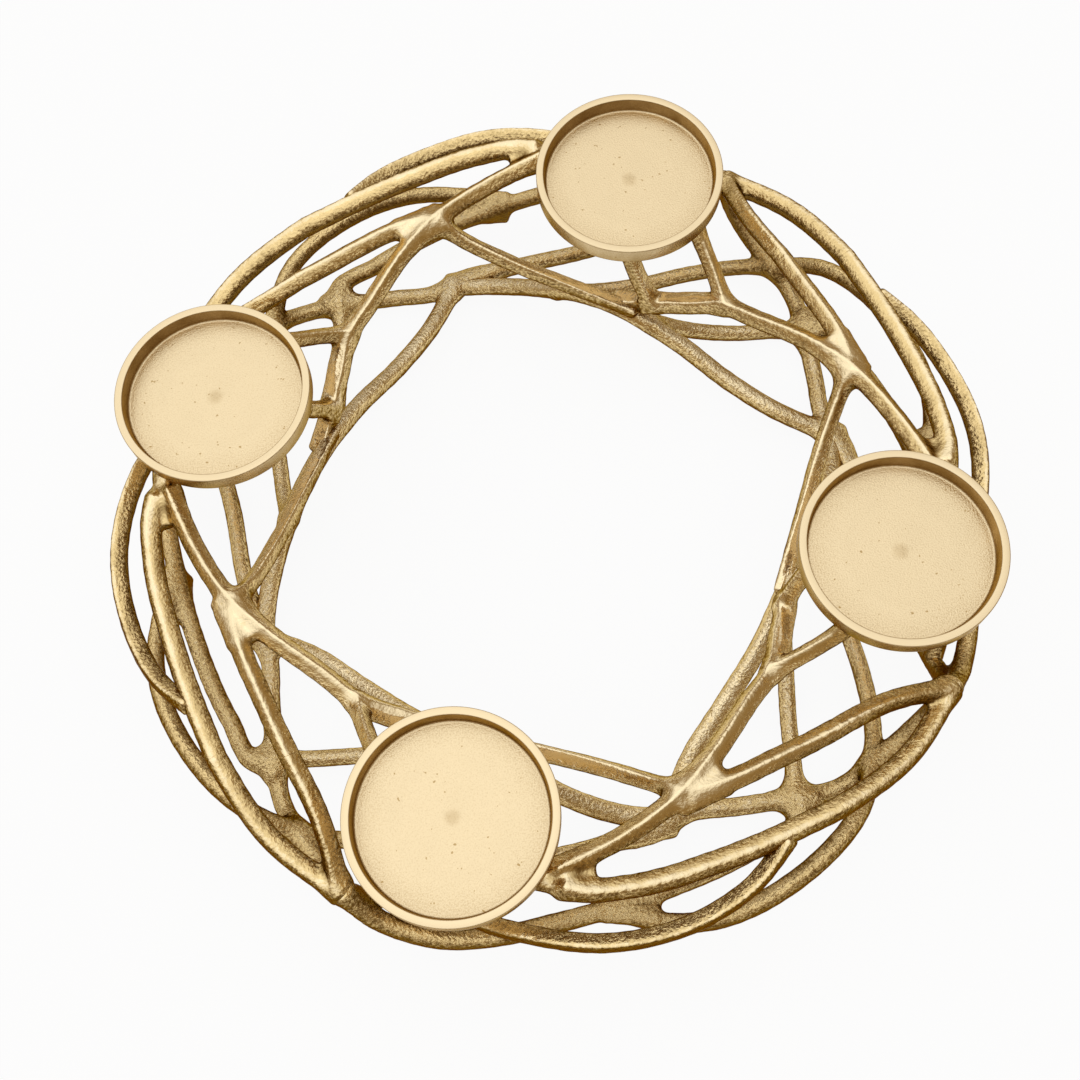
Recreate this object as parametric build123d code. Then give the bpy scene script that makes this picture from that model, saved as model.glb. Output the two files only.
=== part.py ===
"""Advent candle holder: an openwork wreath of cast branches that carries four candle cups.

The wreath is a hollow ring of branches. One quarter is modelled and repeated round the Z axis.
A quarter has an upper casting, a lower casting, a side band and a candle cup, all welded.
Angles are degrees round the wreath from the quarter's own cup towards the next one, sizes are
millimetres, and Z = 0 is the table.
"""
import os
from math import cos, radians, sin

from build123d import *

# Wreath
QUARTERS = 4
QUARTER_NAMES = ("front", "right", "back", "left")
FIRST_CUP_ANGLE = -110.0      # where the first cup stands, seen from above
CUP_CIRCLE_RADIUS = 158.5     # cup centres lie on this circle
RIM_HEIGHT = 92.0             # table to the top of the cups
TUBE_CENTRE_HEIGHT = 42.0     # middle of the hollow ring of branches

# Candle cups
CUP_DIAMETER = 90.0
CUP_HEIGHT = 9.3
CUP_WALL = 3.6
CUP_FLOOR = 2.0
CUP_CORNER = 1.5              # slope between the wall and the floor, inside

# Branches
BRANCH_WIDTH = 8.4            # across a branch, along the surface of the ring
BRANCH_DEPTH = 9.6            # from the outer crest of a branch to its inner edge
FLANK = 0.5                   # height of a branch's flat flanks, as a share of its depth
KNOT_SPREAD = 1.55            # how much wider a branch grows where it runs into a knot
KNOT_REACH = 18.0             # length of a branch over which it widens into a knot
NECK_BREADTH = 1.5            # how much broader the necks under the cups are than other branches
LONGEST_SPAN = 36.0           # longest distance between the sections of a branch
FOOT_CUT = 0.9                # depth ground off the lowest branches so that they stand flat
BOW_WELD_ANGLE = 62.0         # where the upper and lower castings meet on the outer bow
RAIL_WELD_ANGLE = 54.5        # where the upper and lower castings meet on the outer rail

QUARTER_TURN = 360.0 / QUARTERS
CUP_SEAT = RIM_HEIGHT - CUP_HEIGHT
BED = BRANCH_DEPTH / 2 - FOOT_CUT


def up(angle, spread, rise):
    """A route point: degrees round the wreath from the quarter's own cup, percent of the radius of
    the cup circle, and percent of the height of the cup seats."""
    return (angle, CUP_CIRCLE_RADIUS * spread / 100, CUP_SEAT * rise / 100)


def bed(angle, spread, rise=0.0):
    """A route point of a branch that lies on the table, or a little above it."""
    return (angle, CUP_CIRCLE_RADIUS * spread / 100, BED + CUP_SEAT * rise / 100)


def next_quarter(point):
    return (point[0] + QUARTER_TURN, point[1], point[2])


def quarter_before(point):
    return (point[0] - QUARTER_TURN, point[1], point[2])


# Knots, where branches meet
BLOCK = up(15.5, 110, 91)
TOP_CROSSING = up(36, 96, 86)
FORK = up(63, 82, 70.5)
OUTER_END = up(77.5, 127, 54)
BOTTOM_CROSSING = bed(35, 96, 2)
STAR = bed(55, 110, 1)
ELBOW = up(66, 120, 12)

# Routes of the upper casting, from knot to knot
MAIN_ARM = [BLOCK, up(25, 103, 87), TOP_CROSSING, up(43, 91, 85), up(56, 83.5, 76.5), FORK,
            up(72, 77.5, 61), up(82, 75, 51.5), up(88, 75, 47)]
INNER_ARM = [TOP_CROSSING, up(33, 91, 77.5), up(24, 81.5, 67), up(11, 75, 57.5), up(0, 72.5, 51.5),
             up(-7, 73, 46.5)]
OUTER_BOW = [TOP_CROSSING, up(43, 98.5, 85), up(57, 103, 79), up(70, 112.5, 70.5), OUTER_END]
OUTER_RAIL = [BLOCK, up(17.5, 114.5, 89), up(25, 115.5, 85), up(38, 116, 79), up(54, 120.5, 72.5),
              up(67, 125.5, 61.5), OUTER_END]
CUP_STAY = [FORK, up(68, 86, 79), up(74.5, 92, 93), up(75.5, 93, 100)]
CUP_STRUT = [up(78, 74.5, 54), up(83.5, 76.5, 75.5), up(88, 81.5, 100)]
BRACE = [FORK, up(68, 81, 67), up(78, 75, 55)]
CUP_NECK = [up(17, 112.5, 88), up(13, 111.5, 90), up(9.5, 109.5, 100)]

# Routes of the lower casting
INNER_RING = [BOTTOM_CROSSING, up(38, 90, 8.5), up(44, 82.5, 12), up(55, 76.5, 15), up(72, 74, 28),
              up(90, 75, 39.5), up(98, 78.5, 34.5), up(107, 84, 21.5), up(118, 91.5, 9.5),
              next_quarter(BOTTOM_CROSSING)]
SPOKE = [BOTTOM_CROSSING, bed(40, 97), bed(46, 101.5), STAR]
OUTER_FOOT = [STAR, bed(61, 117, 1), ELBOW, up(72, 123.5, 19), up(76, 126, 33.5), OUTER_END]
LOW_BAND = [STAR, bed(53.5, 115, 2.5), up(46, 115, 9.5), up(30, 115.5, 19.5), up(15, 120, 25),
            up(8, 124.5, 26.5), up(0, 128.5, 29.5), up(-7, 129, 36), quarter_before(OUTER_END)]
LOW_BOW = [up(24, 118, 22), up(28, 123, 24), up(34, 127, 27), up(47, 128.5, 32.5), up(59, 125, 28.5),
           ELBOW]
INNER_SPUR = [STAR, bed(59, 101.5), bed(64, 93, 0.5), up(70, 85, 10.5), up(80, 75, 32)]
LONG_SPUR = [ELBOW, bed(71, 114.5, 2.5), bed(78, 105), bed(86, 94.5), up(95, 87.5, 10), up(103, 82, 26.5)]
CRADLE = [quarter_before(OUTER_END), up(-9, 123.5, 31), up(-4, 117.5, 14.5), bed(2, 110, 1), bed(10, 103),
          bed(22, 98.5), BOTTOM_CROSSING]

# Route of the side band, from the cradle to the outer rail
SIDE_BAND = [up(-7, 121.5, 25), up(0, 120.5, 44), up(9, 124, 63.5), up(22, 128, 67), up(34, 127, 64.5),
             up(41, 124, 68.5), up(46.5, 119, 75.5)]


def place(route_point):
    """Turn an angle, a radius and a height into a point."""
    angle, radius, height = route_point
    return Vector(radius * cos(radians(angle)), radius * sin(radians(angle)), height)


def outward(position):
    """Direction from the middle of the hollow ring to a point on its surface."""
    flat = Vector(position.X, position.Y, 0).normalized()
    middle = flat * CUP_CIRCLE_RADIUS + Vector(0, 0, TUBE_CENTRE_HEIGHT)
    return (position - middle).normalized()


def section(position, normal, width, depth):
    """Six-sided outline of a branch: an outer crest, two flat flanks and an inner edge."""
    crest = outward(position)
    crest = (crest - normal * crest.dot(normal)).normalized()
    side = normal.cross(crest)
    corners = [(0, 0.5), (0.5, FLANK / 2), (0.5, -FLANK / 2)]
    corners += [(-x, -y) for x, y in corners]
    return [position + side * (x * width) + crest * (y * depth) for x, y in corners]


def flat_face(*corners):
    return Face(Wire.make_polygon(corners, close=True))


def skin(sections):
    """Close a row of sections with flat triangles between them and a flat face at each end."""
    faces = [flat_face(*reversed(sections[0])), flat_face(*sections[-1])]
    for near, far in zip(sections, sections[1:]):
        for corner in range(len(near)):
            after = (corner + 1) % len(near)
            faces.append(flat_face(near[corner], near[after], far[after]))
            faces.append(flat_face(near[corner], far[after], far[corner]))
    return Solid(Shell(faces))


def station_shares(path, route, first, last):
    """Where the sections of a branch stand: at the points of its route, and between far ones."""
    bends = [path.param_at_point(place(point)) for point in route]
    bends = [first] + [share for share in bends if first + 0.02 < share < last - 0.02] + [last]
    shares = [first]
    for start, end in zip(bends, bends[1:]):
        spans = max(1, round(path.length * (end - start) / LONGEST_SPAN))
        shares += [start + (end - start) * step / spans for step in range(1, spans + 1)]
    return shares


def branch(route, first=0.0, last=1.0, girth=1.0, breadth=1.0, end_normal=None):
    """A branch along a route, or along the part of it between two shares of its length."""
    path = Spline(*[place(point) for point in route])
    sections = []
    for share in station_shares(path, route, first, last):
        normal = path.tangent_at(share)
        if end_normal and share == last:
            normal = end_normal
        to_knot = path.length * min(share, 1 - share)
        swell = 1 + (KNOT_SPREAD - 1) * max(0, 1 - to_knot / KNOT_REACH)
        width = BRANCH_WIDTH * girth * breadth * swell
        sections.append(section(path.position_at(share), normal, width, BRANCH_DEPTH * girth))
    return skin(sections)


def share_at(route, angle):
    """Share of a route's length at which it reaches an angle round the wreath."""
    path = Spline(*[place(point) for point in route])
    start, end = 0.0, 1.0
    across = Vector(-sin(radians(angle)), cos(radians(angle)), 0)
    for _ in range(40):
        middle = (start + end) / 2
        if path.position_at(middle).dot(across) < 0:
            start = middle
        else:
            end = middle
    return start


def fused(*pieces):
    return pieces[0].fuse(*pieces[1:])


def turned(piece, quarters):
    return piece.rotate(Axis.Z, QUARTER_TURN * quarters)


def trimmed(piece, *neighbours):
    """Cope a piece to its neighbours and keep its main body."""
    rest = piece.cut(*neighbours)
    return max(rest.solids(), key=lambda solid: solid.volume)


def upper_casting():
    """Branches from the block beside one cup to the stays under the next cup."""
    upright = Vector(0, 0, 1)
    main = fused(
        branch(MAIN_ARM),
        branch(OUTER_BOW, last=share_at(OUTER_BOW, BOW_WELD_ANGLE)),
        branch(OUTER_RAIL, last=share_at(OUTER_RAIL, RAIL_WELD_ANGLE), girth=1.1),
        branch(BRACE, girth=0.75),
        branch(CUP_STAY, end_normal=upright),
        branch(CUP_STRUT, end_normal=upright),
        branch(CUP_NECK, breadth=NECK_BREADTH, end_normal=upright),
    )
    arm = trimmed(branch(INNER_ARM), turned(main, -1))
    return fused(main, arm)


def lower_casting():
    """Branches that stand on the table, with the outer ends that rise to the upper casting."""
    table = 4 * CUP_CIRCLE_RADIUS
    under_table = Pos(0, 0, -table / 2) * Box(table, table, table)
    ring_split = share_at(INNER_RING, 110.0)
    main = fused(
        branch(SPOKE),
        branch(OUTER_FOOT),
        branch(OUTER_BOW, first=share_at(OUTER_BOW, BOW_WELD_ANGLE)),
        branch(OUTER_RAIL, first=share_at(OUTER_RAIL, RAIL_WELD_ANGLE), girth=1.1),
        branch(LOW_BOW),
        branch(INNER_SPUR),
        branch(LONG_SPUR),
        branch(INNER_RING, last=ring_split),
    )
    reach = trimmed(fused(branch(LOW_BAND), branch(CRADLE), main), turned(main, -1))
    ring_end = trimmed(branch(INNER_RING, first=ring_split), turned(reach, 1))
    return trimmed(fused(reach, ring_end), under_table)


def candle_cup():
    """A shallow round cup: a flat floor, an upright wall and a sloped corner between them."""
    radius = CUP_DIAMETER / 2
    on_floor = (Align.CENTER, Align.CENTER, Align.MIN)
    outside = Pos(0, 0, CUP_SEAT) * Cylinder(radius, CUP_HEIGHT, align=on_floor)
    inside = Pos(0, 0, CUP_SEAT + CUP_FLOOR) * Cylinder(radius - CUP_WALL, CUP_HEIGHT, align=on_floor)
    inside = chamfer(inside.edges().sort_by(Axis.Z)[0], CUP_CORNER)
    return Pos(CUP_CIRCLE_RADIUS, 0, 0) * (outside - inside)


def main():
    upper = upper_casting()
    lower = trimmed(lower_casting(), upper, turned(upper, 1), turned(upper, -1))
    parts = {
        "upper_branches": upper,
        "lower_branches": lower,
        "side_band": trimmed(branch(SIDE_BAND), upper, lower),
        "candle_cup": candle_cup(),
    }
    os.makedirs("parts", exist_ok=True)
    for name, part in parts.items():
        for index, quarter in enumerate(QUARTER_NAMES):
            turn = FIRST_CUP_ANGLE + QUARTER_TURN * index
            export_step(part.rotate(Axis.Z, turn), f"parts/{name}_{quarter}.step")


main()
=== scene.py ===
"""Looks of an advent candle holder: a gold openwork wreath with shallow candle cups.

The branches of one quarter follow listed routes and are melted into castings, and the castings and
cups are repeated round the Z axis. Routes are in millimetres: degrees round the wreath from the
quarter's own cup towards the next one, radius, and height above the table. Meshes are in metres.
"""

from typing import NamedTuple

import bpy
import numpy as np
from mathutils import Matrix


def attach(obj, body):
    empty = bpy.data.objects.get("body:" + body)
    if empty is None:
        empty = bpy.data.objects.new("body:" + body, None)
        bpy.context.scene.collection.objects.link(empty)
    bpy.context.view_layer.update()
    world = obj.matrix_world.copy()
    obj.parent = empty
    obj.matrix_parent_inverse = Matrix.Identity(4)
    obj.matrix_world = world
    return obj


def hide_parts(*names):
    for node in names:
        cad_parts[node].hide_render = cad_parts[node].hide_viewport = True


bl_info = {
    "name": "Advent candle holder",
    "version": (1, 0, 0),
    "blender": (4, 5, 0),
    "location": "3D View > Sidebar > Wreath",
    "description": "Builds a gold openwork wreath with four candle cups",
    "category": "Add Mesh",
}

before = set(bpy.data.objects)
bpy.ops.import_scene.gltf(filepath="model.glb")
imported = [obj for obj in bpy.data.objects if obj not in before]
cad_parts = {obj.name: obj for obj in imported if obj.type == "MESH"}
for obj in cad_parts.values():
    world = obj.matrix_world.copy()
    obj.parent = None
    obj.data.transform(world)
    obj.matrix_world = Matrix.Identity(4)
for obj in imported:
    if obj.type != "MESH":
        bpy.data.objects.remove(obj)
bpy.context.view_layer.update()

MM = 0.001

# Sizes in millimetres, except where metres are named
QUARTERS = ("front", "right", "back", "left")
FIRST_CUP_ANGLE = -110.0
QUARTER_TURN = 90.0
TUBE_CENTRE = (158.5, 42.0)   # radius and height of the middle of the hollow ring of branches
BACK_POWER = 2.0              # inner half of a branch's section: 2 is round, more is squarer
WELD_OVERLAP = 0.7            # how far branches run into each other at a weld
CREST_TURN = 2.0              # how strongly the crests of high branches turn up
CREST_TURN_FROM = 30.0        # height at which they start to turn up
CREST_TURN_TO = 50.0          # height from which they are turned up in full
FULL_PAINTED_LIGHT = 120.0           # radius inside which the castings get the most painted light
FULL_PAINTED_SHADE = 200.0          # radius outside which they get the most painted shade
CROWD_REACH = 5.0             # how far round a point its metal is counted
CUP_EDGE = 0.0005             # radius of a rim's edges, in metres
CUP_CORNER = 0.0011           # radius of a cup's foot and of the corner inside it, in metres
FINER_CELLS = 1.3             # how much finer the cells of the smaller castings are
TINY = 1e-12                  # keeps sums above zero

# Knots, where branches meet
TOP_CROSSING = (36, 152, 72)
FORK = (63, 130, 59)
OUTER_END = (77.5, 201, 45)
OUTER_END_BEFORE = (-12.5, 201, 45)
BOTTOM_CROSSING = (35, 152, 5.4)
BOTTOM_CROSSING_NEXT = (125, 152, 5.4)
STAR = (55, 174.5, 5)
ELBOW = (66, 190, 10)
BOW_WELD = (62, 167.5, 64.5)
RAIL_WELD = (54.5, 191.3, 60.3)


class Branch(NamedTuple):
    """Width and depth of a branch, its route, how it widens at its ends, and its crest."""
    width: float
    depth: float
    route: list
    first_swell: float = 1.2
    last_swell: float = 1.2
    flat_end: str = ""            # the end that is cut flat for a weld
    crest: float = 1.2            # outer half of the section: 1 is a sharp edge, 2 is round


UPPER_BRANCHES = {
    "main arm": Branch(9.2, 10, [
        (15.5, 173, 76), (25, 163, 73), TOP_CROSSING, (43, 144, 71), (56, 132.5, 64), FORK, (72, 122.5, 51),
        (82, 119, 43), (88, 118.5, 39.5)], 0.8, 1.1),
    "inner arm": Branch(8, 9.4, [
        TOP_CROSSING, (33, 144, 65), (24, 129, 56), (11, 118.5, 48), (0, 115, 43), (-7, 115.5, 39)], 1.5),
    "outer bow": Branch(9.4, 10, [
        (37.5, 153.5, 70.5), (43, 156, 71), (52, 159.5, 68.5), (57, 163, 66), BOW_WELD],
        1.25, 1.0, "last", 1.3),
    "crossing lump": Branch(16, 9, [(35, 153.5, 70), (42.5, 152, 69.5)], 1, 1, crest=2.2),
    "outer rail": Branch(10, 10.4, [
        (16.5, 180, 74.5), (19, 182, 73.5), (25, 183, 71), (38, 183.5, 66), RAIL_WELD],
        1.0, 1.0, "last", 1.45),
    "block": Branch(13, 7.5, [(15.5, 177, 72), (20, 176.7, 70)], 1, 1, crest=2.2),
    "cup neck": Branch(12, 8, [(17, 177, 71.5), (13, 176, 74), (9.5, 173.5, 79.2)], 1, 1, crest=2.2),
    "cup stay": Branch(8, 9.6, [FORK, (68, 136.5, 66), (74.5, 146, 77.5), (75.5, 147.5, 80.8)]),
    "cup strut": Branch(9, 9, [(78, 118, 45), (83.5, 121.5, 63), (87.8, 129, 80.8)], 1.6, 1.1),
    "brace": Branch(6, 7, [FORK, (68, 128.5, 56), (78, 119, 46)]),
}
LOWER_BRANCHES = {
    "inner ring": Branch(10, 9.4, [
        BOTTOM_CROSSING, (38, 143, 7), (44, 131, 10), (55, 121.5, 12.5), (72, 117, 23.5), (90, 119, 33),
        (98, 124.5, 29), (107, 133.5, 18), (118, 145, 8), BOTTOM_CROSSING_NEXT], crest=1.6),
    "spoke": Branch(9, 9, [BOTTOM_CROSSING, (40, 153.5, 4.6), (46, 160.5, 4.6), STAR], 1.3, 1.4, crest=1.6),
    "crossing plate": Branch(11, 7.5, [
        (26, 156, 5), (31, 154.8, 5.2), (34.8, 153.4, 5.4)], 0.5, 1.2, crest=2.2),
    "star plate": Branch(16, 7, [(52.5, 175.5, 5.2), (57, 176, 5)], 1, 1, crest=2.2),
    "outer foot": Branch(9, 9, [
        STAR, (61, 185.5, 5), ELBOW, (72, 195.5, 16), (76, 200, 28), OUTER_END], 1.4, 1.3, crest=1.6),
    "rail end": Branch(10, 10.4, [RAIL_WELD, (67, 199, 51.5), OUTER_END], 1.0, 1.3, "first", 1.45),
    "bow end": Branch(9.4, 10, [BOW_WELD, (70, 178, 59), OUTER_END], 1.0, 1.3, "first"),
    "low band": Branch(9, 9.6, [
        STAR, (53.5, 182, 6), (46, 182, 8), (30, 183, 16.5), (15, 190.5, 21), (8, 197, 22), (0, 203.5, 24.5),
        (-7, 204.5, 30), OUTER_END_BEFORE], 1.3, 1.3, crest=1.5),
    "low bow": Branch(8.6, 9.4, [
        (24, 187, 18.5), (28, 195, 20), (34, 201.5, 22.5), (47, 203.5, 27), (59, 198.5, 24), ELBOW],
        1.3, 1.3, crest=1.5),
    "bow plate": Branch(16, 7, [(22, 185.5, 17.5), (28.5, 190, 18)], 1, 1, crest=2.2),
    "inner spur": Branch(8.2, 9, [
        STAR, (59, 161, 4.5), (64, 147, 5), (70, 135, 9), (80, 119, 27)], 1.4, crest=1.6),
    "long spur": Branch(8.4, 9, [
        ELBOW, (71, 181.5, 6), (78, 166, 4.5), (86, 150, 4.5), (95, 138.5, 8.5), (103, 130, 22)],
        1.3, crest=1.6),
    "cradle": Branch(8.6, 9.4, [
        OUTER_END_BEFORE, (-9, 196, 26), (-4, 186, 12), (2, 174.5, 5), (10, 163, 4.6), (22, 156, 4.6),
        BOTTOM_CROSSING], 1.3, 1.3, crest=1.6),
}
SIDE_BRANCHES = {
    "side band": Branch(8.4, 10, [
        (-7, 192.5, 21), (0, 191, 37), (9, 196.5, 53), (22, 203, 56), (34, 201.5, 54), (41, 196.5, 57.5),
        (46.5, 188.5, 63)]),
}


class WreathSizes(bpy.types.PropertyGroup):
    cup_diameter: bpy.props.FloatProperty(
        name="Cup diameter", description="Across the outside of a candle cup", default=0.090, unit="LENGTH")
    cup_wall: bpy.props.FloatProperty(
        name="Cup wall", description="Thickness of a cup's upright wall", default=0.0036, unit="LENGTH")
    cup_height: bpy.props.FloatProperty(
        name="Cup height", description="From the underside to the rim of a cup",
        default=0.0093, unit="LENGTH")
    cup_floor: bpy.props.FloatProperty(
        name="Cup floor", description="Thickness of a cup's floor", default=0.0020, unit="LENGTH")
    cup_draft: bpy.props.FloatProperty(
        name="Cup draft", description="How far the inside of a cup narrows from the rim to the floor",
        default=0.0007, unit="LENGTH")
    cup_circle: bpy.props.FloatProperty(
        name="Cup circle", description="Radius of the circle of cup centres", default=0.1585, unit="LENGTH")
    rim_height: bpy.props.FloatProperty(
        name="Rim height", description="From the table to the top of the cups",
        default=0.092, unit="LENGTH")
    pitch: bpy.props.FloatProperty(
        name="Detail", description="Size of the cells that the castings are worked out in",
        default=0.0008, unit="LENGTH")
    melt: bpy.props.FloatProperty(
        name="Melt", description="How softly branches run into each other", default=0.0016, unit="LENGTH")
    unevenness: bpy.props.FloatProperty(
        name="Unevenness", description="Height of the waves that casting leaves on the branches",
        default=0.00012, unit="LENGTH")


class WreathFinish(bpy.types.PropertyGroup):
    # brown of a patina, also painted as shade on the castings' flanks, outside and crowded hollows, and on
    # the cups' walls
    patina_and_shade: bpy.props.FloatVectorProperty(
        name="Patina", description="Brown that stays in the hollows and on the cups' walls",
        subtype="COLOR", size=3, min=0, max=1, default=(0.21, 0.118, 0.027))
    branch_gold: bpy.props.FloatVectorProperty(
        name="Branch gold", description="Colour of the cast branches", subtype="COLOR", size=3,
        min=0, max=1, default=(0.87, 0.655, 0.315))
    # pale gold painted as a highlight on up-facing tops and crests
    highlight_gold: bpy.props.FloatVectorProperty(
        name="Crest gold", description="Colour of the buffed crests", subtype="COLOR", size=3,
        min=0, max=1, default=(0.98, 0.81, 0.51))
    cup_gold: bpy.props.FloatVectorProperty(
        name="Cup gold", description="Colour of the candle cups", subtype="COLOR", size=3,
        min=0, max=1, default=(0.90, 0.73, 0.46))
    # also the painted shade on the cups' floors towards their walls
    cup_brown: bpy.props.FloatVectorProperty(
        name="Cup brown", description="Colour of the sand marks and the pip in the cups",
        subtype="COLOR", size=3, min=0, max=1, default=(0.48, 0.31, 0.12))


class Route:
    """A smooth line through route points, with its directions and its sizes at close steps.

    Each span is a cubic whose end slopes are the mean of the slopes on both sides of a point. The
    crest looks away from the middle of the hollow ring, and on high branches more upward, square to
    the line. The width grows towards each end with the square of the nearness to the knot there.
    """

    def __init__(self, branch):
        step, reach = 1.2, 16.0
        round_cap, flat_cap = 0.3 * branch.depth, 0.3
        angle, radius, height = np.array(branch.route, float).T
        angle = np.radians(angle)
        knots = np.stack([radius * np.cos(angle), radius * np.sin(angle), height], 1)
        gaps = np.linalg.norm(np.diff(knots, axis=0), axis=1)
        at = np.concatenate([[0], np.cumsum(gaps)])
        slopes = np.diff(knots, axis=0) / gaps[:, None]
        lean = np.empty_like(knots)
        lean[0], lean[-1] = slopes[0], slopes[-1]
        if len(knots) > 2:
            share = (gaps[:-1] / (gaps[:-1] + gaps[1:]))[:, None]
            lean[1:-1] = slopes[:-1] * (1 - share) + slopes[1:] * share
            lean[0] = 1.5 * slopes[0] - 0.5 * lean[1]
            lean[-1] = 1.5 * slopes[-1] - 0.5 * lean[-2]
        count = max(4, int(round(at[-1] / step)) + 1)
        along = np.linspace(0, at[-1], count)
        span = np.clip(np.searchsorted(at, along, "right") - 1, 0, len(gaps) - 1)
        t = ((along - at[span]) / gaps[span])[:, None]
        g = gaps[span][:, None]
        self.line = ((2 * t**3 - 3 * t**2 + 1) * knots[span] + (t**3 - 2 * t**2 + t) * g * lean[span]
                     + (3 * t**2 - 2 * t**3) * knots[span + 1] + (t**3 - t**2) * g * lean[span + 1])
        self.ahead = np.gradient(self.line, axis=0)
        self.ahead /= np.linalg.norm(self.ahead, axis=1)[:, None]
        crest = self.line - ring_middle(self.line)
        crest /= np.linalg.norm(crest, axis=1)[:, None]
        high = (self.line[:, 2] - CREST_TURN_FROM) / (CREST_TURN_TO - CREST_TURN_FROM)
        crest[:, 2] += CREST_TURN * np.clip(high, 0, 1)
        crest -= self.ahead * (crest * self.ahead).sum(1)[:, None]
        self.crest = crest / np.linalg.norm(crest, axis=1)[:, None]
        self.side = np.cross(self.ahead, self.crest)
        near_first = np.clip(1 - along / reach, 0, 1) ** 2
        near_last = np.clip(1 - (at[-1] - along) / reach, 0, 1) ** 2
        swell = 1 + (branch.first_swell - 1) * near_first + (branch.last_swell - 1) * near_last
        self.half_width = 0.5 * branch.width * swell
        self.half_depth = 0.5 * branch.depth
        self.crest_power = branch.crest
        self.step = at[-1] / (count - 1)
        self.cap = np.full(count, round_cap)
        self.overlap = np.zeros(count)
        if branch.flat_end:
            end = 0 if branch.flat_end == "first" else -1
            self.cap[end], self.overlap[end] = flat_cap, WELD_OVERLAP


def ring_middle(points):
    """The nearest points on the middle circle of the hollow ring of branches."""
    flat = points[:, :2] / np.linalg.norm(points[:, :2], axis=1)[:, None]
    return np.column_stack([flat * TUBE_CENTRE[0], np.full(len(points), TUBE_CENTRE[1])])


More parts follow.
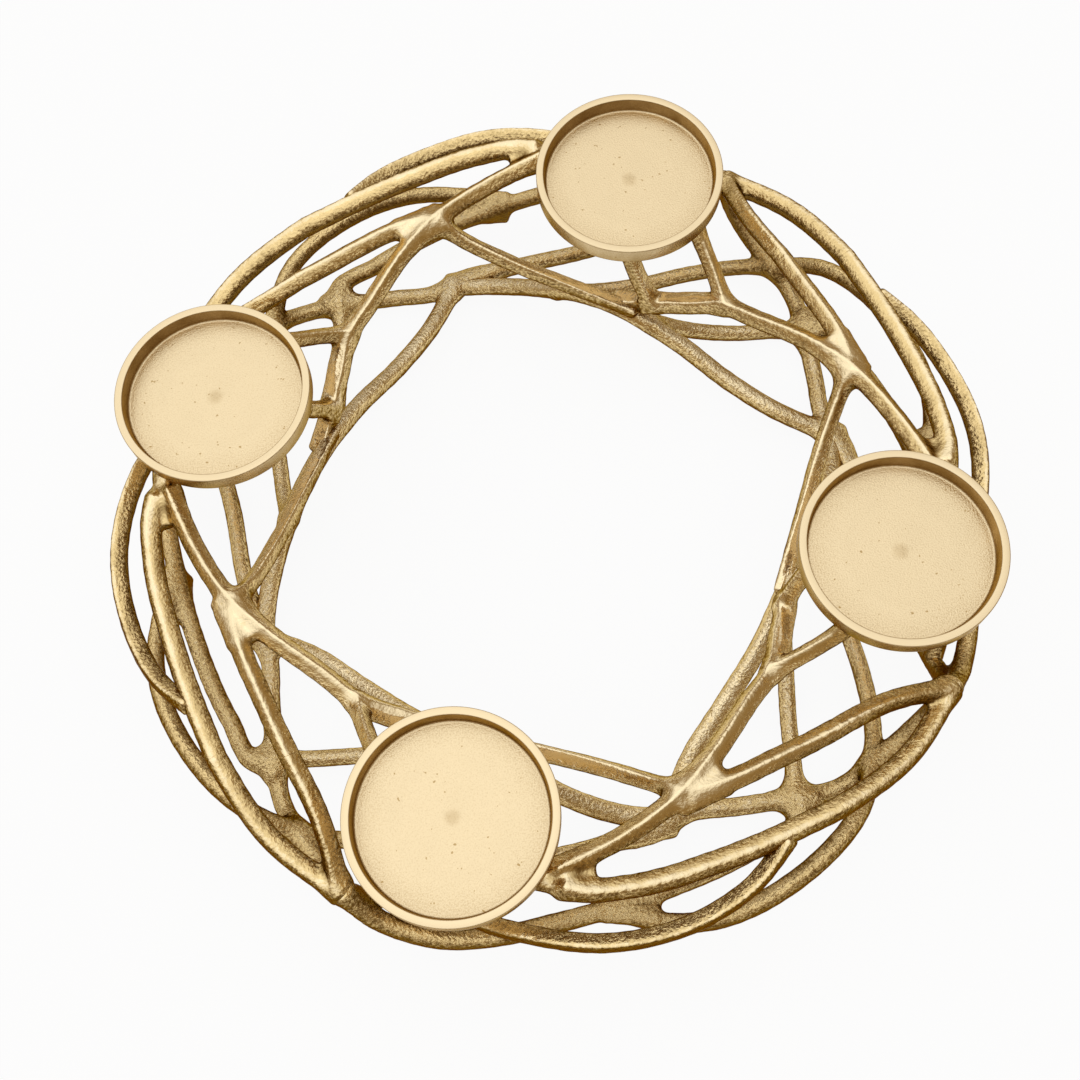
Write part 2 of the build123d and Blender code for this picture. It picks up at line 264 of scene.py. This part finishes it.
class CastingGrid:
    """Cells round a casting that hold how far each is from the casting's blended surface."""

    def __init__(self, routes, sizes, pitch):
        margin = 10.0
        low = np.min([route.line.min(0) for route in routes], 0) - margin
        high = np.max([route.line.max(0) for route in routes], 0) + margin
        self.low, self.pitch, self.melt = low, pitch, sizes.melt / MM
        self.shape = np.ceil((high - low) / pitch).astype(int) + 1
        self.sum = np.zeros(self.shape, np.float32)
        self.ridge = np.zeros(self.shape, np.float32)
        for route in routes:
            self.add(route)

    def add(self, route):
        """Melt one branch into the casting.

        A branch's section is an oval whose outer half has a crest: across and outward distances,
        each as a share of the branch's own half size, are raised to a power and added. The
        distance is that size less one. Each branch adds exp(-distance / melt) to the cells, and
        the casting's surface is where the sum is one.
        """
        reach, stretch, far = 11.0, 6, 1e3
        least, most = -20, 30     # keep the exponent in range
        count = len(route.line)
        first = np.maximum(((route.line.min(0) - reach - self.low) / self.pitch).astype(int), 0)
        last = np.minimum(((route.line.max(0) + reach - self.low) / self.pitch).astype(int) + 2, self.shape)
        nearest = np.full(last - first, far, np.float32)
        ridge = np.zeros(last - first, np.float32)
        for start in range(0, count - 1, stretch):
            line = route.line[start:start + stretch + 1]
            a = np.maximum(((line.min(0) - reach - self.low) / self.pitch).astype(int), first)
            b = np.minimum(((line.max(0) + reach - self.low) / self.pitch).astype(int) + 2, last)
            axes = [self.low[i] + self.pitch * np.arange(a[i], b[i]) for i in range(3)]
            spot = np.stack(np.meshgrid(*axes, indexing="ij"), -1).reshape(-1, 3).astype(np.float32)
            apart = ((spot[:, None, :] - line[None].astype(np.float32)) ** 2).sum(-1)
            pick = apart.argmin(1) + start
            away = spot - route.line[pick]
            over = (away * route.ahead[pick]).sum(1)
            between = np.where(pick == count - 1, over, np.abs(over) - route.step)
            over = np.where(pick == 0, -over, between)
            over = (over - route.overlap[pick]).clip(0)
            across = np.abs((away * route.side[pick]).sum(1))
            out = (away * route.crest[pick]).sum(1)
            half_width, half_depth = route.half_width[pick], route.half_depth
            power = np.where(out > 0, route.crest_power, BACK_POWER)
            size = ((across / half_width) ** power + (np.abs(out) / half_depth) ** power
                    + (over / route.cap[pick]) ** power) ** (1 / power)
            distance = ((size - 1) * np.minimum(half_width, half_depth)).reshape(b - a)
            box = tuple(slice(a[i] - first[i], b[i] - first[i]) for i in range(3))
            closer = distance < nearest[box]
            nearest[box] = np.where(closer, distance, nearest[box])
            ridge[box] = np.where(closer, (out / half_depth).reshape(b - a), ridge[box])
        box = tuple(slice(first[i], last[i]) for i in range(3))
        weight = np.exp(-np.clip(nearest / self.melt, least, most))
        self.sum[box] += weight
        self.ridge[box] += weight * ridge

    def surface(self):
        """Points and four-sided faces of the surface, and two values at the points.

        One point stands in each cell that the surface passes through, at the mean of its crossings
        of the cell's edges, and one face across each crossed edge. The values are how far out
        towards a crest a point lies, and how much metal is near.
        """
        level = -np.log(np.maximum(self.sum, TINY)) * self.melt
        inside = level < 0
        corners = [(i, j, k) for i in (0, 1) for j in (0, 1) for k in (0, 1)]

        def shifted(values, corner):
            return values[tuple(slice(c, n - 1 + c) for c, n in zip(corner, values.shape))]

        filled = sum(shifted(inside, corner).astype(np.uint8) for corner in corners)
        cells = np.argwhere((filled > 0) & (filled < 8))
        number = np.full(filled.shape, -1, np.int32)
        number[tuple(cells.T)] = np.arange(len(cells))
        total = np.zeros((len(cells), 3))
        crossings = np.zeros(len(cells))
        for corner in corners:
            for axis in range(3):
                if corner[axis]:
                    continue
                other = list(corner)
                other[axis] = 1
                here = level[tuple((cells + corner).T)]
                there = level[tuple((cells + other).T)]
                crossed = (here < 0) != (there < 0)
                share = np.where(crossed, here / np.where(crossed, here - there, 1), 0)
                spot = np.tile(np.array(corner, float), (len(cells), 1))
                spot[:, axis] += share
                total += spot * crossed[:, None]
                crossings += crossed
        points = self.low + self.pitch * (cells + total / crossings[:, None])
        faces = []
        for axis in range(3):
            one, two = (axis + 1) % 3, (axis + 2) % 3
            step = np.eye(3, dtype=int)
            edge = np.argwhere(inside != np.roll(inside, -1, axis))
            keep = edge[:, axis] < inside.shape[axis] - 1
            keep &= (edge[:, one] > 0) & (edge[:, two] > 0)
            keep &= (edge[:, one] < inside.shape[one] - 1) & (edge[:, two] < inside.shape[two] - 1)
            edge = edge[keep]
            around = [edge - step[one] - step[two], edge - step[two], edge, edge - step[one]]
            quad = np.stack([number[tuple(cell.T)] for cell in around], 1)
            leaving = inside[tuple(edge.T)]
            quad[~leaving] = quad[~leaving][:, ::-1]
            faces.append(quad)
        near = tuple(np.round((points - self.low) / self.pitch).astype(int).T)
        ridge = self.ridge[near] / np.maximum(self.sum[near], TINY)
        return points, np.concatenate(faces), ridge, self.crowding(inside)[near]

    def crowding(self, inside):
        """How much metal lies round each cell: the filled share of a box of cells about it."""
        half = int(round(CROWD_REACH / self.pitch))
        share = inside.astype(np.float32)
        for axis in range(3):
            edges = [(0, 0)] * 3
            edges[axis] = (half + 1, half)
            total = np.cumsum(np.pad(share, edges), axis)
            ahead = np.take(total, np.arange(2 * half + 1, total.shape[axis]), axis)
            behind = np.take(total, np.arange(total.shape[axis] - 2 * half - 1), axis)
            share = (ahead - behind) / (2 * half + 1)
        return share


def normals_of(points, faces):
    """Unit normals at the points: the sum of the cross products of the diagonals of the faces there."""
    cross = np.cross(points[faces[:, 2]] - points[faces[:, 0]], points[faces[:, 3]] - points[faces[:, 1]])
    total = np.stack([sum(np.bincount(faces[:, corner], cross[:, axis], len(points)) for corner in range(4))
                      for axis in range(3)], 1)
    return total / np.maximum(np.linalg.norm(total, axis=1), TINY)[:, None]


def eased(points, faces, rounds=2):
    """Points moved halfway to the mean of their neighbours, a few times, to even out steps on crests."""
    ahead, behind = np.roll(faces, -1, 1).ravel(), np.roll(faces, 1, 1).ravel()
    corners = faces.ravel()
    count = 2 * np.bincount(corners, minlength=len(points))[:, None]
    for _ in range(rounds):
        total = np.stack([np.bincount(corners, points[ahead, axis] + points[behind, axis], len(points))
                          for axis in range(3)], 1)
        points = 0.5 * points + 0.5 * total / count
    return points


def cast_waves(points):
    """Unevenness from -1 to 1: the mean of sine waves 4.5 to 6 mm long in different directions."""
    runs = np.array([[0.9, 0.3, 0.6], [-0.5, 0.8, 0.5], [0.3, -0.7, 0.9], [0.6, 0.6, -1.1]])
    return np.sin(points @ runs.T + np.arange(len(runs))).mean(1)


def turned(points, degrees):
    """Points turned about the Z axis."""
    c, s = np.cos(np.radians(degrees)), np.sin(np.radians(degrees))
    return points @ np.array([[c, s, 0], [-s, c, 0], [0, 0, 1]])


def make_object(name, points, quads, material, triangles=np.zeros((0, 3)), **attributes):
    """A mesh object at the origin from arrays of points in metres and of faces."""
    mesh = bpy.data.meshes.new(name)
    corners = np.concatenate([quads.ravel(), triangles.ravel()]).astype(np.int32)
    sides = np.concatenate([np.full(len(quads), 4), np.full(len(triangles), 3)])
    mesh.vertices.add(len(points))
    mesh.vertices.foreach_set("co", points.astype(np.float32).ravel())
    mesh.loops.add(len(corners))
    mesh.loops.foreach_set("vertex_index", corners)
    mesh.polygons.add(len(sides))
    mesh.polygons.foreach_set("loop_start", (np.cumsum(sides) - sides).astype(np.int32))
    mesh.polygons.foreach_set("use_smooth", np.ones(len(sides), bool))
    for key, values in attributes.items():
        attribute = mesh.attributes.new(key, "FLOAT", "POINT")
        attribute.data.foreach_set("value", values.astype(np.float32))
    mesh.update(calc_edges=True)
    mesh.validate()
    mesh.materials.append(material)
    thing = bpy.data.objects.new(name, mesh)
    bpy.context.scene.collection.objects.link(thing)
    return thing


def place_castings(branches, node, fineness=1.0):
    """Build one quarter's casting and put a turned copy at each quarter.

    One attribute is how far a point faces up, less towards the outside of the wreath, which the
    finish turns into painted light and shade; "ridge" is how near it is to a crest, and "crowded" how
    much metal is near, which the finish darkens as painted shade.
    """
    sizes = bpy.context.scene.wreath_sizes
    material = bpy.data.materials.get("cast_gold") or branch_finish()
    pitch = sizes.pitch / MM / fineness * 1.0
    grid = CastingGrid([Route(branch) for branch in branches.values()], sizes, pitch)
    points, faces, ridge, crowded = grid.surface()
    points = eased(points, faces)
    normals = normals_of(points, faces)
    radius = np.hypot(points[:, 0], points[:, 1])
    # painted light and shade: lighter the more a point faces up and the further in it lies, darker on
    # flanks, undersides and the outside
    outside = np.clip((radius - FULL_PAINTED_LIGHT) / (FULL_PAINTED_SHADE - FULL_PAINTED_LIGHT), 0, 1)
    inner_painted_light, outer_painted_shade = 0.2, 0.5
    painted_light = normals[:, 2] + inner_painted_light - outer_painted_shade * outside
    points = points + normals * (sizes.unevenness / MM * cast_waves(points))[:, None]
    points[:, 2] = np.maximum(points[:, 2], 0.0)
    for index, quarter in enumerate(QUARTERS):
        name = f"{node}_{quarter}"
        spots = turned(points, FIRST_CUP_ANGLE + QUARTER_TURN * index) * MM
        piece = make_object("cast_" + name, spots, faces, material,
                            painted_light=painted_light, ridge=ridge, crowded=crowded)
        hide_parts(name)
        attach(piece, "root")


class Shade:
    """A socket among nodes, with the sums that a shader needs."""

    def __init__(self, nodes, socket):
        self.nodes, self.socket = nodes, socket

    def math(self, operation, *values):
        return self.nodes.node("ShaderNodeMath", {"operation": operation}, dict(enumerate(values)))

    def __add__(self, other):
        return self.math("ADD", self, other)

    def __sub__(self, other):
        return self.math("SUBTRACT", self, other)

    def __rsub__(self, other):
        return self.math("SUBTRACT", other, self)

    def __mul__(self, other):
        return self.math("MULTIPLY", self, other)

    __radd__ = __add__
    __rmul__ = __mul__


class Nodes:
    """The nodes of a material or of the world, added one call at a time."""

    def __init__(self, owner):
        owner.use_nodes = True
        self.owner, self.tree = owner, owner.node_tree

    def node(self, kind, settings=None, inputs=None, output=0):
        node = self.tree.nodes.new(kind)
        for key, value in (settings or {}).items():
            setattr(node, key, value)
        for key, value in (inputs or {}).items():
            self.feed(node.inputs[key], value)
        return Shade(self, node.outputs[output])

    def feed(self, socket, value):
        if isinstance(value, Shade):
            self.tree.links.new(value.socket, socket)
        else:
            socket.default_value = value

    def set(self, name, **inputs):
        """Set or link the inputs of a node that is there already."""
        for key, value in inputs.items():
            self.feed(self.tree.nodes[name].inputs[key.replace("_", " ")], value)

    def shader(self, name):
        return Shade(self, self.tree.nodes[name].outputs[0])

    def mix(self, factor, first, second):
        return self.node("ShaderNodeMix", {"data_type": "RGBA"}, {0: factor, 6: first, 7: second}, 2)

    def attribute(self, name):
        return self.node("ShaderNodeAttribute", {"attribute_name": name}, output="Fac")

    def noise(self, scale, detail=2.0):
        place = self.node("ShaderNodeTexCoord", output="Object")
        return self.node("ShaderNodeTexNoise", None, {"Vector": place, "Scale": scale, "Detail": detail})

    def ramp(self, value, low, high):
        return self.node("ShaderNodeMapRange", {"interpolation_type": "SMOOTHSTEP"},
                         {"Value": value, "From Min": low, "From Max": high})

    def bump(self, height, strength, distance):
        return self.node("ShaderNodeBump", None,
                         {"Height": height, "Strength": strength, "Distance": distance})


def rgba(colour):
    return tuple(colour) + (1.0,)


def new_finish(name):
    return Nodes(bpy.data.materials.new(name))


def branch_finish():
    """Cast gold: sandy, with brown painted shade, on the flanks, the outside and in crowded hollows; smooth,
    with a pale painted highlight, on up-facing tops and crests.
    """
    finish = new_finish("cast_gold")
    colours = bpy.context.scene.wreath_finish
    painted_light, ridge, crowded = (finish.attribute(name) for name in ("painted_light", "ridge", "crowded"))
    grain, cloud = finish.noise(700.0, 2.0), finish.noise(110.0, 3.0)
    sandy = 1 - finish.ramp(ridge, 0.0, 0.6) * finish.ramp(painted_light, 0.4, 0.8)
    uneven = 0.5 * (cloud - 0.5) + (0.2 + 0.8 * sandy) * (grain - 0.5)
    # painted shade: darker where much metal crowds round a point
    painted_shading = painted_light - 0.4 * finish.ramp(crowded, 0.42, 0.65)
    crest = finish.ramp(ridge + 0.2 * uneven, 0.65, 0.95)
    # painted shade: the brown shows where the painted light is low, the gold where it is high
    painted_lit_share = finish.ramp(painted_shading + uneven, 0.15, 0.75)
    tone = finish.mix(painted_lit_share, rgba(colours.patina_and_shade), rgba(colours.branch_gold))
    # painted highlight: pale gold on the most lit tops and crests
    painted_highlight = finish.ramp(painted_shading + uneven + 0.3 * crest, 0.8, 1.15)
    tone = finish.mix(painted_highlight, tone, rgba(colours.highlight_gold))
    bump = finish.bump(grain * (0.25 + 0.75 * sandy), 1.0, 0.0008)
    finish.set("Principled BSDF", Base_Color=tone, Metallic=1.0, Roughness=0.22 + 0.05 * sandy,
               Specular_Tint=(0.36, 0.25, 0.1, 1), Normal=bump)
    return finish.owner


def cup_finish():
    """Paler cast gold: a sandy floor with painted shade that browns it towards its edge, walls darkened by
    painted shade and a smooth rim.
    """
    finish = new_finish("cup_gold")
    colours = bpy.context.scene.wreath_finish
    spread, rim, wall = (finish.attribute(name) for name in ("spread", "rim", "wall"))
    grain, cloud = finish.noise(1500.0, 3.0), finish.noise(60.0, 3.0)
    # painted shade: the sand marks thicken towards the wall
    edge = finish.ramp(spread + 0.25 * (cloud - 0.5), 0.6, 0.98)
    sand_and_shade = finish.ramp(grain + 0.1 * edge, 0.45, 0.75) * (0.22 + 0.14 * edge) * (1 - rim)
    pits = finish.ramp(finish.noise(420.0, 1.0), 0.74, 0.78) * (1 - rim)
    pip = 1 - finish.ramp(spread + 0.1 * (cloud - 0.5), 0.03, 0.12)
    tone = finish.mix(sand_and_shade + 0.8 * pits + 0.25 * pip, rgba(colours.cup_gold), rgba(colours.cup_brown))
    # painted shade: the walls darkened in patchy brown
    tone = finish.mix(wall * (0.1 + 1.2 * cloud), tone, rgba(colours.patina_and_shade))
    bump = finish.bump(grain * (1 - 0.85 * rim) * (0.6 + 0.2 * edge), 0.45, 0.0006)
    finish.set("Principled BSDF", Base_Color=tone, Metallic=1.0, Roughness=0.32 - 0.12 * wall,
               Specular_Tint=(0.6, 0.44, 0.22, 1), Normal=bump)
    return finish.owner


def revolved(profile, steps):
    """A profile of (radius, height) turned about the Z axis, from a pole to a pole.

    The grid's parameters are the turn and the place along the profile. The two poles are single
    points, joined to their neighbours by triangles.
    """
    turn = np.linspace(0, 2 * np.pi, steps, endpoint=False)
    body = profile[1:-1]
    ring = np.stack([np.multiply.outer(np.cos(turn), body[:, 0]),
                     np.multiply.outer(np.sin(turn), body[:, 0]),
                     np.tile(body[:, 1], (steps, 1))], -1).reshape(-1, 3)
    points = np.concatenate([ring, [[0, 0, profile[0, 1]], [0, 0, profile[-1, 1]]]])
    count = len(body)
    a, b = np.meshgrid(np.arange(steps), np.arange(count - 1), indexing="ij")
    ahead = (a + 1) % steps
    quads = np.stack([a * count + b, ahead * count + b, ahead * count + b + 1, a * count + b + 1], -1)
    here = np.arange(steps) * count
    there = np.roll(here, -1)
    first, last = np.full(steps, len(ring)), np.full(steps, len(ring) + 1)
    triangles = np.concatenate([np.stack([first, there, here], 1),
                                np.stack([last, here + count - 1, there + count - 1], 1)])
    return points, quads.reshape(-1, 4), triangles


def floor_relief(spots):
    """Height in millimetres of the relief on a cup's floor.

    A bell curve at the middle, whose breadth changes with the turn, makes a low pip. A faint ring
    lies round it, and crossed sine waves a few hundredths high fade towards the wall.
    """
    pip_height, pip_radius = 0.14, 2.8
    ring_height, ring_radius, ring_breadth = 0.03, 24, 3
    wave_height, wave_reach = 0.04, 40
    away, turn = np.hypot(spots[:, 0], spots[:, 1]), np.arctan2(spots[:, 1], spots[:, 0])
    pip_edge = pip_radius + 0.5 * np.sin(3 * turn) + 0.4 * np.sin(5 * turn + 1)
    pip = pip_height * np.exp(-(away / pip_edge) ** 2)
    ring = ring_height * np.exp(-((away - ring_radius) / ring_breadth) ** 2)
    waves = np.sin(0.21 * spots[:, 0] + 0.9) * np.sin(0.17 * spots[:, 1] + 0.4)
    return pip + ring + wave_height * waves * np.clip(1 - away / wave_reach, 0, 1)


def cup_surface(sizes):
    """Points and faces of a cup that stands on the Z axis, and its attributes.

    Its section is turned about Z. From the middle of the underside it runs round the foot, up the
    outside, over the rim's two edges, down the inside, which leans in, round the inner corner and in
    along the floor, and each bend is a quarter circle. Attribute "spread" is the distance from the
    middle as a share of the inside's radius, "rim" is 1 on top of the rim, and "wall" is 1 on the
    wall's inside and a little less on its outside.
    """
    edge, corner = CUP_EDGE, CUP_CORNER
    radius, wall, top = sizes.cup_diameter / 2, sizes.cup_wall, sizes.rim_height
    bottom = top - sizes.cup_height
    floor = bottom + sizes.cup_floor
    mouth, inside = radius - wall, radius - wall - sizes.cup_draft
    floor_rings, under_rings, turns, outside_wall = 60, 8, 192, 0.8
    floor_slack, rim_depth, mouth_slack = 0.2 * corner, 1.2 * edge, 1.005
    bend = np.linspace(0, np.pi / 2, 5)
    flat = np.linspace(0, radius - corner, under_rings)[:-1]
    under = np.stack([flat, np.full(len(flat), bottom)], 1)
    foot = np.stack([radius - corner + corner * np.sin(bend), bottom + corner - corner * np.cos(bend)], 1)
    outer = np.stack([radius - edge + edge * np.cos(bend), top - edge + edge * np.sin(bend)], 1)
    inner = np.stack([mouth + edge - edge * np.sin(bend), top - edge + edge * np.cos(bend)], 1)
    heel = np.stack([inside - corner + corner * np.cos(bend), floor + corner - corner * np.sin(bend)], 1)
    across = np.linspace(inside - corner, 0, floor_rings)[1:]
    plain = np.stack([across, np.full(len(across), floor)], 1)
    points, quads, triangles = revolved(np.concatenate([under, foot, outer, inner, heel, plain]), turns)
    spread = np.hypot(points[:, 0], points[:, 1]) / inside
    on_floor = (points[:, 2] < floor + floor_slack) & (points[:, 2] > floor - floor_slack)
    points[:, 2] += on_floor * floor_relief(points[:, :2] / MM) * MM
    rim = np.clip((points[:, 2] - top + rim_depth) / edge, 0, 1)
    within = spread < mouth_slack * mouth / inside
    upright = np.where(within, np.clip((points[:, 2] - floor) / corner, 0, 1), outside_wall) * (1 - rim)
    return points, quads, triangles, {"spread": spread, "rim": rim, "wall": upright}


class WREATH_OT_upper(bpy.types.Operator):
    """Build the upper castings"""
    bl_idname = "wreath.upper"
    bl_label = "Upper branches"

    def execute(self, context):
        place_castings(UPPER_BRANCHES, "upper_branches", FINER_CELLS)
        return {"FINISHED"}


class WREATH_OT_lower(bpy.types.Operator):
    """Build the lower castings"""
    bl_idname = "wreath.lower"
    bl_label = "Lower branches"

    def execute(self, context):
        place_castings(LOWER_BRANCHES, "lower_branches")
        return {"FINISHED"}


class WREATH_OT_bands(bpy.types.Operator):
    """Build the side bands"""
    bl_idname = "wreath.bands"
    bl_label = "Side bands"

    def execute(self, context):
        place_castings(SIDE_BRANCHES, "side_band", FINER_CELLS)
        return {"FINISHED"}


class WREATH_OT_cups(bpy.types.Operator):
    """Build the candle cups"""
    bl_idname = "wreath.cups"
    bl_label = "Candle cups"

    def execute(self, context):
        sizes = context.scene.wreath_sizes
        points, quads, triangles, attributes = cup_surface(sizes)
        material = cup_finish()
        for index, quarter in enumerate(QUARTERS):
            centre = turned(np.array([[sizes.cup_circle, 0, 0]]), FIRST_CUP_ANGLE + QUARTER_TURN * index)
            cup = make_object(f"cup_{quarter}", points + centre, quads, material, triangles, **attributes)
            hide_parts(f"candle_cup_{quarter}")
            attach(cup, "root")
        return {"FINISHED"}


def aimed(right, up, back, spot):
    """A placing matrix from three unit directions and a place."""
    return Matrix([[*row, at] for row, at in zip(np.stack([right, up, back], 1), spot)] + [[0, 0, 0, 1]])


def white_table():
    """A table that shows white to the camera and in the metal, and keeps the object's shadow."""
    own_white = 0.93              # the rest of its look is lit, and takes the shadow
    half, drop, shift = 0.6, -0.0005, 0.06
    table = new_finish("white_table")
    table.set("Principled BSDF", Base_Color=(0.9, 0.9, 0.9, 1), Roughness=0.9)
    seen = sum(table.node("ShaderNodeLightPath", output=f"Is {kind} Ray")
               for kind in ("Camera", "Glossy", "Transmission"))
    white = table.node("ShaderNodeEmission", None, {"Color": (1, 1, 1, 1), "Strength": 1.0})
    table.set("Material Output", Surface=table.node(
        "ShaderNodeMixShader", None, {0: own_white * seen, 1: table.shader("Principled BSDF"), 2: white}))
    corners = np.array([[-half, -half, drop], [half, -half, drop], [half, half, drop], [-half, half, drop]])
    corners[:, 1] += shift
    return make_object("table", corners, np.array([[0, 1, 2, 3]]), table.owner)


def studio_sky():
    """A world that is white overhead, a little to the back left, and a dim brown room at the sides."""
    overhead = (-0.2, 0.17, 0.965)
    room, white = (0.29, 0.205, 0.105, 1), (1.08, 1.08, 1.08, 1)
    sky = Nodes(bpy.data.worlds.new("studio"))
    look = sky.node("ShaderNodeTexCoord", output="Generated")
    toward = sky.node("ShaderNodeVectorMath", {"operation": "DOT_PRODUCT"}, {0: look, 1: overhead}, "Value")
    sky.set("Background", Color=sky.mix(sky.ramp(toward, 0.3, 0.92), room, white), Strength=1.0)
    return sky.owner


def top_light():
    """A weak square lamp high over the back left, aimed at the middle of the wreath."""
    spot = np.array([-0.17, 0.09, 1.5])
    lamp = bpy.data.lights.new("top light", "AREA")
    lamp.size, lamp.energy = 0.45, 0.15
    light = bpy.data.objects.new("top light", lamp)
    bpy.context.scene.collection.objects.link(light)
    back = spot / np.linalg.norm(spot)
    right = np.cross([0, 1, 0], back)
    right /= np.linalg.norm(right)
    light.matrix_world = aimed(right, np.cross(back, right), back, spot)
    return light


def photo_camera():
    """The photo's camera: high in front, looking down, and turned a little about its own axis."""
    tilt, roll = np.radians(69.673), -0.102   # both in radians
    eye = np.array([-0.00663, -0.24308, 0.6547])
    back = np.array([0, -np.cos(tilt), np.sin(tilt)])
    level, rise = np.array([1.0, 0, 0]), np.array([0, np.sin(tilt), np.cos(tilt)])
    right = np.cos(roll) * level + np.sin(roll) * rise
    up = np.cos(roll) * rise - np.sin(roll) * level
    camera = bpy.data.objects.new("camera", bpy.data.cameras.new("camera"))
    bpy.context.scene.collection.objects.link(camera)
    camera.data.sensor_fit, camera.data.sensor_width = "HORIZONTAL", 36.0
    camera.data.lens = 46.015
    camera.data.clip_start = 0.01
    camera.matrix_world = aimed(right, up, back, eye)
    return camera


class WREATH_OT_stage(bpy.types.Operator):
    """Set the table, the light and the camera"""
    bl_idname = "wreath.stage"
    bl_label = "Stage"

    def execute(self, context):
        scene = context.scene
        scene.view_settings.view_transform = "Standard"
        white_table()
        scene.world = studio_sky()
        top_light()
        scene.camera = photo_camera()
        return {"FINISHED"}


OPERATORS = (WREATH_OT_upper, WREATH_OT_lower, WREATH_OT_bands, WREATH_OT_cups, WREATH_OT_stage)


class WREATH_PT_panel(bpy.types.Panel):
    """Lists the sizes, the colours and the steps that build the wreath"""
    bl_idname = "WREATH_PT_panel"
    bl_label = "Wreath"
    bl_space_type = "VIEW_3D"
    bl_region_type = "UI"
    bl_category = "Wreath"

    def draw(self, context):
        for group in (context.scene.wreath_sizes, context.scene.wreath_finish):
            for key in group.__annotations__:
                self.layout.prop(group, key)
        for operator in OPERATORS:
            self.layout.operator(operator.bl_idname)


CLASSES = (WreathSizes, WreathFinish) + OPERATORS + (WREATH_PT_panel,)


def register():
    for cls in CLASSES:
        bpy.utils.register_class(cls)
    bpy.types.Scene.wreath_sizes = bpy.props.PointerProperty(type=WreathSizes)
    bpy.types.Scene.wreath_finish = bpy.props.PointerProperty(type=WreathFinish)


def unregister():
    del bpy.types.Scene.wreath_sizes
    del bpy.types.Scene.wreath_finish
    for cls in reversed(CLASSES):
        bpy.utils.unregister_class(cls)


def main():
    register()
    bpy.ops.wreath.upper()
    bpy.ops.wreath.lower()
    bpy.ops.wreath.bands()
    bpy.ops.wreath.cups()
    bpy.ops.wreath.stage()


if __name__ == "__main__":
    main()
